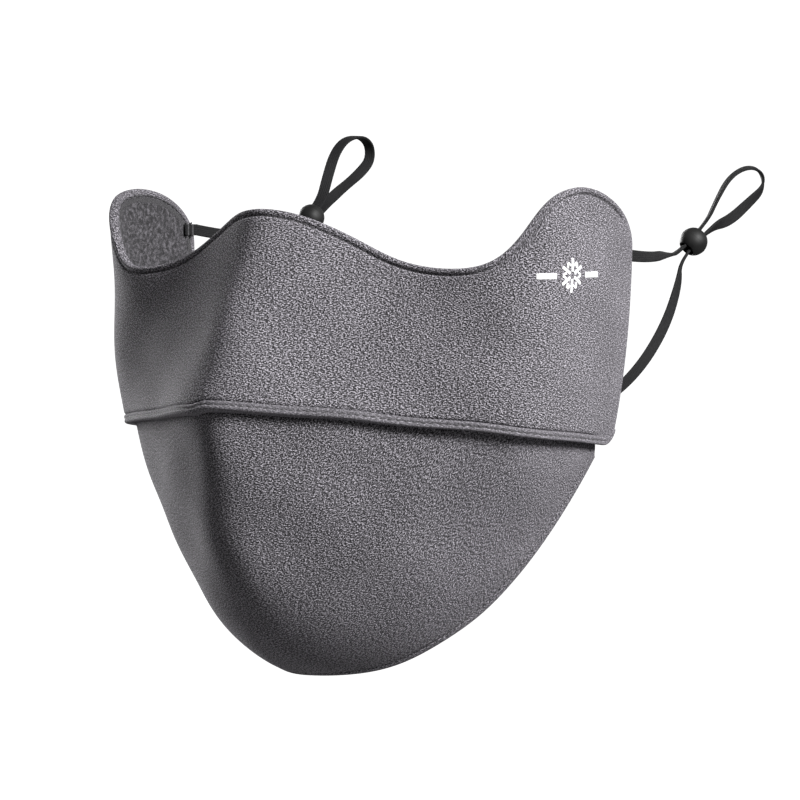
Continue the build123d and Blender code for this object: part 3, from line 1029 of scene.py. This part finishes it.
CHIN_RIM = [
    (5.2, 0.0), (4.3, 0.0), (3.9, 0.08), (3.65, 0.3), (3.5, 0.44), (3.35, 0.3), (3.1, 0.04),
    (2.5, -0.12), (1.5, -0.18), (0.7, -0.06), (0.2, 0.4), (0.0, 1.2), (0.2, 2.0), (0.7, 2.6),
    (1.6, 2.85), (2.6, 2.85), (3.3, 2.7), (3.4, 2.1), (3.4, 1.5), (3.8, 1.25), (5.2, 1.25),
]
RAW_EDGE = [
    (5.2, 0.0), (4.3, 0.0), (3.9, 0.0), (3.4, 0.0), (2.9, 0.0), (2.4, 0.0), (1.9, 0.0),
    (1.4, 0.0), (0.9, 0.0), (0.4, 0.04), (0.1, 0.2), (0.0, 0.6), (0.1, 1.05), (0.4, 1.21),
    (0.9, 1.25), (1.4, 1.25), (1.9, 1.25), (2.4, 1.25), (3.0, 1.25), (3.8, 1.25), (5.2, 1.25),
]


def chin_loop(columns, rows):
    """The chin panel's outline over s and the distance up from the rim."""
    turn = np.radians(np.linspace(45, 90, 20))
    reach = CHIN_EDGE_AT - CHIN_CORNER
    corner = stack(reach + CHIN_CORNER * np.sin(turn), CHIN_CORNER * (1 - np.cos(turn)))
    side = np.concatenate([corner, [[CHIN_EDGE_AT, chin_length(CHIN_EDGE_AT)]]])
    right = even(side, rows + 1)
    left = right * (-1, 1)
    s = np.linspace(-1, 1, columns + 1)
    bottom_s = s * corner[0, 0]
    lift = round_off(np.abs(bottom_s) - reach, CHIN_CORNER) * CHIN_CORNER
    bottom = stack(bottom_s, lift)
    top_s = s * CHIN_EDGE_AT
    top = stack(top_s, chin_length(top_s))
    return closed_loop(bottom, right, top, left)


def rim_share(loop, columns):
    """How much each point of the chin panel's outline belongs to its rim, not to its sides."""
    on_bottom = np.arange(len(loop)) <= columns
    return on_bottom * smooth((CHIN_EDGE_AT - 2 - np.abs(loop[:, 0])) / 6)


def chin_panel():
    loop = chin_loop(CHIN_COLUMNS, CHIN_ROWS)
    on_rim = rim_share(loop, CHIN_COLUMNS)
    points, faces, cloth = sheet_mesh(
        chin, loop, [CHIN_RIM, RAW_EDGE], [on_rim, 1 - on_rim], CHIN_COLUMNS, CHIN_ROWS
    )
    piece = make_piece("chin_panel", points, faces, KNIT, cloth + CHIN_CLOTH)
    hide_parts("chin_panel_outer", "chin_edge_roll", "chin_side_roll_left", "chin_side_roll_right")
    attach(piece, "mask")


def chin_lining():
    columns, rows = 180, 60
    outline = chin_loop(columns, rows)
    loop = moved_in(outline, columns, rows, 0.6 + 3.0 * rim_share(outline, columns))
    points, faces, cloth = sheet_mesh(chin, loop, [LINING_RIM], [np.ones(len(loop))], columns, rows)
    piece = make_piece("chin_lining", points, faces, FLEECE, cloth)
    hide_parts("chin_panel_lining")
    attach(piece, "mask")


# ---- nose wire ------------------------------------------------------------------------------
CHANNEL_LIFT = 0.08         # the channel's tape lies this far off the lining
CHANNEL_SEAM = 0.55         # its stitches run this far inside its edges


def strip_loop(half, low, high, columns, rows):
    """Outline of a strip below the band's top edge, between two distances from that edge."""
    s = np.linspace(-half, half, columns + 1)
    bottom = stack(s, top_edge(s) - low)
    top = stack(s, top_edge(s) - high)
    share = np.linspace(0, 1, rows + 1)[:, None]
    left = bottom[0] + (top[0] - bottom[0]) * share
    right = bottom[-1] + (top[-1] - bottom[-1]) * share
    return closed_loop(bottom, right, top, left)


def nose_strip(name, half, low, high, rim, material, replaced):
    columns, rows = 100, 6
    loop = strip_loop(half, low, high, columns, rows)
    points, faces, cloth = sheet_mesh(band, loop, [rim], [np.ones(len(loop))], columns, rows)
    piece = make_piece(name, points, faces, material, cloth)
    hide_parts(replaced)
    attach(piece, "mask")


def nose_wire():
    face = BACK + LAYER_GAP
    back = face + WIRE_THICK
    rim = [(0.4, face), (0.1, face), (0.0, face + 0.1), (0.0, back - 0.1), (0.1, back), (0.4, back)]
    low = WIRE_BELOW_EDGE + WIRE_HEIGHT
    nose_strip(
        "nose_wire_strip", WIRE_HALF, low, WIRE_BELOW_EDGE, rim, ALUMINIUM, "nose_wire"
    )


def nose_wire_channel():
    lying = BACK + CHANNEL_LIFT
    over = BACK + 2 * LAYER_GAP + WIRE_THICK
    rim = [
        (1.6, over), (1.1, over - 0.25), (0.7, lying), (0.1, lying), (0.0, lying + 0.1),
        (0.0, lying + 0.4), (0.1, lying + CHANNEL_THICK), (0.7, lying + CHANNEL_THICK),
        (1.1, over + 0.25), (1.6, over + CHANNEL_THICK),
    ]
    low = WIRE_BELOW_EDGE + WIRE_HEIGHT + CHANNEL_MARGIN
    high = WIRE_BELOW_EDGE - CHANNEL_MARGIN
    half = WIRE_HALF + CHANNEL_MARGIN
    nose_strip("wire_channel", half, low, high, rim, TAPE, "nose_wire_channel")


# ---- thread ---------------------------------------------------------------------------------
def stitches(line, out, pitch, length, lift, sink, slant=0.12):
    """Stitches along a line (points x 3) whose outward normals are out, as (points, faces)."""
    gone = distances(line)
    count = int(gone[-1] / pitch)
    share = np.linspace(0, 1, 7)
    at = (np.arange(count)[:, None] + 0.15) * pitch + share[None] * length
    at = np.minimum(at, gone[-1])
    centre = at_distances(at, gone, line)
    normal = unit(at_distances(at, gone, out))
    ahead = unit(np.gradient(centre, axis=1))
    aside = np.cross(ahead, normal)
    arch = lift * np.sin(np.pi * share) ** 0.6 - sink * (1 - np.sin(np.pi * share) ** 0.6)
    centre = centre + normal * arch[None, :, None] + aside * (slant * (share - 0.5))[None, :, None]
    turn = np.linspace(0, 2 * math.pi, 7)[:-1]
    section = stack(np.cos(turn), np.sin(turn)) * THREAD_RADIUS
    parts = [tube_mesh(centre[j], normal[j], aside[j], section) for j in range(count)]
    return join(parts)


def seam(place, flat, depth, **sizes):
    """Stitches along a flat line on a form, lying at a depth and facing out of it."""
    s, z = flat[:, 0], flat[:, 1]
    line = place(s, z, np.full(len(s), depth))
    out = place(s, z, np.full(len(s), depth - 1.0)) - line
    return stitches(line, unit(out), **sizes)


def thread_piece(name, parts, replaced=()):
    points, faces = join(parts)
    piece = make_piece(name, points, faces, THREAD)
    if replaced:
        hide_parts(*replaced)
    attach(piece, "mask")


def topstitching():
    """The seams seen from outside, and the same seams' lower thread inside."""
    sizes = {"pitch": STITCH_PITCH, "length": STITCH_LENGTH}
    top = even(dense_top(), 900)
    top = top + line_normals(top) * -TOP_SEAM
    top = top[10:-10]
    thread_piece("top_edge_stitches", [
        seam(band, top, 0.72, lift=0.14, sink=0.25, **sizes),
        seam(band, top, 2.5, lift=-0.3, sink=-0.75, **sizes),
    ])
    hem_seam = even(hem_line(), 900)
    hem_seam = hem_seam + line_normals(hem_seam) * HEM_SEAM
    thread_piece("hem_stitches", [seam(band, hem_seam[30:-30], 0.02, lift=0.08, sink=0.2, **sizes)])
    s = np.linspace(-CHIN_EDGE_AT + 6, CHIN_EDGE_AT - 6, 900)
    rim = stack(s, CHIN_SEAM)
    thread_piece("chin_rim_stitches", [seam(chin, rim, 0.44, lift=0.12, sink=0.25, **sizes)])


def channel_stitches():
    """Two rows that hold the wire's channel, seen inside the mask."""
    half = WIRE_HALF + CHANNEL_MARGIN - 0.6
    s = np.linspace(-half, half, 400)
    depth = BACK + CHANNEL_LIFT + CHANNEL_THICK
    upper = WIRE_BELOW_EDGE - CHANNEL_MARGIN + CHANNEL_SEAM
    lower = WIRE_BELOW_EDGE + WIRE_HEIGHT + CHANNEL_MARGIN - CHANNEL_SEAM
    parts = []
    for below in (upper, lower):
        flat = stack(s, top_edge(s) - below)
        parts.append(seam(band, flat, depth, pitch=2.0, length=1.5, lift=-0.1, sink=-0.25))
    thread_piece("channel_stitches", parts)


def bar_tacks():
    """Dense bars of thread over the sewn ends of the elastics."""
    sizes = {"pitch": TACK_LENGTH - 0.01, "length": TACK_LENGTH * 0.8, "lift": -0.12, "sink": -0.3}
    parts = []
    depth = TAB_FACE + ELASTIC_THICK
    for side in (-1, 1):
        for end in (0, -1):
            height = tab_end(side, end)[1]
            for inset in TACK_INSETS:
                s = side * (EDGE_AT - inset + np.linspace(0, TACK_LENGTH, 8))
                for row in np.arange(-TACK_HEIGHT / 2, TACK_HEIGHT / 2 + 0.01, 0.3):
                    over = abs(row) < ELASTIC_WIDTH / 2
                    flat = stack(s, height + row)
                    level = depth if over else depth - 0.5
                    parts.append(seam(band, flat, level, slant=0.3, **sizes))
    thread_piece("tab_bar_tacks", parts, ["bar_tacks"])


# ---- sewn ends of the elastics --------------------------------------------------------------
def tab_end(side, end):
    """x and z at which the upper tab (end 0) or the lower tab (end -1) meets its elastic."""
    x, y, z, turn = ROUTES[side][end]
    return x, z


def elastic_tab(hand, side, which, end):
    hinge_x, height = tab_end(side, end)
    s = side * np.linspace(EDGE_AT - TAB_LENGTH, EDGE_AT, 24)
    lying = band(s, np.full(24, height), np.full(24, TAB_FACE + ELASTIC_THICK / 2))
    hinge = np.array([hinge_x, ROUTES[side][end][1] + 0.25, height])
    line = np.concatenate([lying, [lying[-1] * 0.4 + hinge * 0.6, hinge]])
    line = even(line, 32)
    points, faces, cloth = strap_mesh(line, np.full(len(line), -90.0))
    piece = make_piece(f"tab_{which}_{hand}", points, faces, ELASTIC, cloth)
    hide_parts(f"elastic_tab_{which}_{hand}")
    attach(piece, "mask")


# ---- print ----------------------------------------------------------------------------------
def print_bar(length, width, start, angle, offset=(0, 0)):
    """One printed bar on the left cheek, leaving the print's centre at an angle."""
    turn = math.radians(angle)
    columns, rows = 10, 4
    x = np.linspace(start, start + length, columns + 1)
    y = np.linspace(-width / 2, width / 2, rows + 1)
    bottom = stack(x, y[0])
    top = stack(x, y[-1])
    left = stack(x[0], y)
    right = stack(x[-1], y)
    loop = closed_loop(bottom, right, top, left)

    def place(along, aside, depth):
        s = STAR_AT[0] + offset[0] + along * math.cos(turn) - aside * math.sin(turn)
        z = STAR_AT[1] + offset[1] + along * math.sin(turn) + aside * math.cos(turn)
        return band(s, z, depth)

    rim = [(0.12, -PRINT_THICK), (0.05, -PRINT_THICK + 0.03), (0.0, -0.1), (0.0, 0.1), (0.12, 0.12)]
    points, faces, cloth = sheet_mesh(place, loop, [rim], [np.ones(len(loop))], columns, rows)
    return points, faces


def cheek_print():
    bars = []
    for arm in range(6):
        angle = 30 + 60 * arm
        bars.append(print_bar(STAR_ARM - STAR_HUB, PRINT_LINE, STAR_HUB + PRINT_LINE / 2, angle))
        root = (BARB_AT * math.cos(math.radians(angle)), BARB_AT * math.sin(math.radians(angle)))
        for lean in (-BARB_ANGLE, BARB_ANGLE):
            bars.append(print_bar(BARB_LENGTH, PRINT_LINE * 0.7, PRINT_LINE, angle + lean, root))
    for angle in (0, 180):
        bars.append(print_bar(BAR_OUTSIDE - BAR_INSIDE, BAR_HEIGHT, BAR_INSIDE, angle))
    points, faces = join(bars)
    piece = make_piece("snow_star_print", points, faces, PRINT)
    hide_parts("cheek_print")
    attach(piece, "mask")


# ---- floor and light ------------------------------------------------------------------------
# distances here are in metres
FLOOR_BELOW = 0.6           # the floor lies this far below the mask
FLOOR_RADIUS = 6.0
CARD_BEHIND = 3.2
CARD_HALF = 2.0


def pale_white(name, glow):
    material, tree, shader = new_material(name, Roughness=0.9)
    shader.inputs["Base Color"].default_value = (0.5, 0.5, 0.5, 1)
    shader.inputs["Emission Color"].default_value = (1, 1, 1, 1)
    shader.inputs["Emission Strength"].default_value = glow
    return material


def make_backdrop():
    """A large upright card behind the mask, across the camera's view."""
    back = Vector((math.sin(AZIMUTH), -math.cos(AZIMUTH), 0))
    right = Vector((math.cos(AZIMUTH), math.sin(AZIMUTH), 0))
    middle = TARGET - back * CARD_BEHIND
    corners = []
    for aside, height in ((-1, -1), (1, -1), (1, 1), (-1, 1)):
        corners.append((middle + right * aside * CARD_HALF + Vector((0, 0, height * CARD_HALF))) / MM)
    card = make_piece("backdrop", np.array(corners), [(0, 1, 2, 3)], pale_white("white_card", 1.0))


def make_floor():
    height = cad_box[0][2] - FLOOR_BELOW
    turn = np.linspace(0, 2 * math.pi, 97)[:-1]
    ring = stack(np.cos(turn), np.sin(turn), 0 * turn) * FLOOR_RADIUS / MM + (0, 0, height / MM)
    floor = make_piece("floor", ring, [tuple(range(96))], pale_white("pale_floor", 0.0))


def area_light(name, azimuth, elevation, distance, size, power, spread):
    """A square light that points at the middle of the mask from a direction in degrees."""
    a, e = math.radians(azimuth), math.radians(elevation)
    way = Vector((math.sin(a) * math.cos(e), -math.cos(a) * math.cos(e), math.sin(e)))
    data = bpy.data.lights.new(name, "AREA")
    data.size = size
    data.energy = power
    data.spread = math.radians(spread)
    light = bpy.data.objects.new(name, data)
    light.location = Vector((0, 0.06, 0)) + way * distance
    light.rotation_mode = "QUATERNION"
    light.rotation_quaternion = (-way).to_track_quat("-Z", "Y")
    bpy.context.scene.collection.objects.link(light)


def make_light():
    area_light("key", azimuth=83, elevation=32, distance=1.1, size=0.4, power=5.6, spread=80)
    area_light("left_rim", azimuth=-115, elevation=8, distance=1.2, size=0.5, power=4.6, spread=80)
    world = bpy.data.worlds.new("studio")
    world.use_nodes = True
    background = world.node_tree.nodes["Background"]
    background.inputs["Color"].default_value = (1, 1, 1, 1)
    background.inputs["Strength"].default_value = 0.2
    bpy.context.scene.world = world
    bpy.context.scene.view_settings.view_transform = "Standard"


# ---- everything -----------------------------------------------------------------------------
make_camera()
for hand, side in (("left", 1), ("right", -1)):
    stopper(hand, side)
    ear_elastic(hand, side)
    elastic_tab(hand, side, "upper", 0)
    elastic_tab(hand, side, "lower", -1)
nose_band()
nose_band_lining()
hem_strip()
chin_panel()
chin_lining()
nose_wire()
nose_wire_channel()
topstitching()
channel_stitches()
bar_tacks()
cheek_print()
make_floor()
make_backdrop()
make_light()
